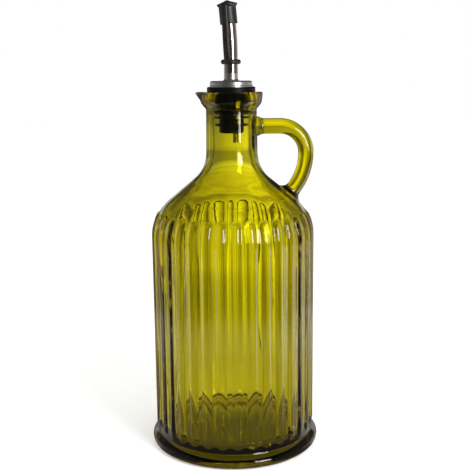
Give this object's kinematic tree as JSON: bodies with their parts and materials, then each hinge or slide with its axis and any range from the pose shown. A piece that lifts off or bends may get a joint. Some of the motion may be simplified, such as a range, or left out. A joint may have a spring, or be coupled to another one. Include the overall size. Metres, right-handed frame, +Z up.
{
  "type": "handled oil bottle",
  "caption": "Olive-green ribbed glass oil bottle with a rod handle, a pouring lip and a plug-in steel pourer under a rubber dust cap.",
  "frame": {"origin": "centre of the bottle's base on the table", "axes": "+Z up the bottle's axis, +X towards the handle, -X towards the pouring lip, -Y the front"},
  "size_m": [0.1052, 0.1052, 0.2728],
  "materials": {
    "green_glass": "glossy olive-green tinted glass",
    "black_rubber": "smooth black rubber",
    "steel": "bright stainless steel",
    "air_tube_steel": "thin steel tube",
    "cap_rubber": "dark grey-black moulded rubber"
  },
  "bodies": {
    "root": {"bottle": "green_glass", "plug": "black_rubber", "spout": "steel", "air_tube": "air_tube_steel", "dust_cap": "cap_rubber"}
  },
  "joints": []
}
